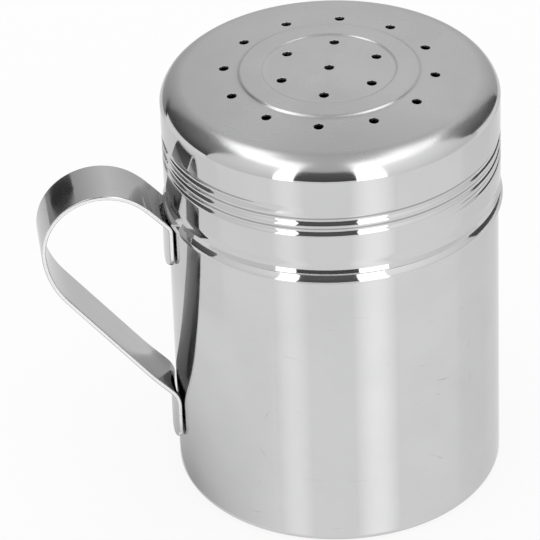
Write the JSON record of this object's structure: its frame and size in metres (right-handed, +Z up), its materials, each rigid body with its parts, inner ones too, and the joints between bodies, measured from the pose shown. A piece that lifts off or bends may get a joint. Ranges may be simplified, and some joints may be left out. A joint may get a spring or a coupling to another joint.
{
  "type": "spice shaker",
  "caption": "Round polished steel shaker with a perforated, domed screw lid and a bent strap handle welded to the side of its cup.",
  "frame": {"origin": "centre of the cup's flat base, on the surface it stands on", "axes": "+Z up along the cup's axis, -X out through the middle of the strap handle, +Y to the left when looking from the handle towards the cup"},
  "size_m": [0.0973, 0.0712, 0.0954],
  "materials": {
    "polished_steel": "mirror-polished stainless steel",
    "lid_steel": "polished stainless steel, a little softer than a mirror on top",
    "weld_steel": "dull fused steel"
  },
  "bodies": {
    "cup": {"cup": "polished_steel", "handle": "polished_steel", "weld_upper_low": "weld_steel", "weld_upper_high": "weld_steel", "weld_lower_low": "weld_steel", "weld_lower_high": "weld_steel"},
    "lid_edge": {"lid_rolled_edge": "polished_steel"},
    "lid": {"lid": "lid_steel"}
  },
  "joints": [
    {"name": "lid_rise", "type": "slide", "parent": "cup", "child": "lid_edge", "axis": [0, 0, 1], "range_m": [0, 0.0265]},
    {"name": "lid_turn", "type": "hinge", "parent": "lid_edge", "child": "lid", "pos_m": [0, 0, 0.08], "axis": [0, 0, 1], "range_deg": [0, 3960]}
  ],
  "couplings": [
    {"joint": "lid_rise", "follows": "lid_turn", "m_per_rad": 0.00038197}
  ]
}
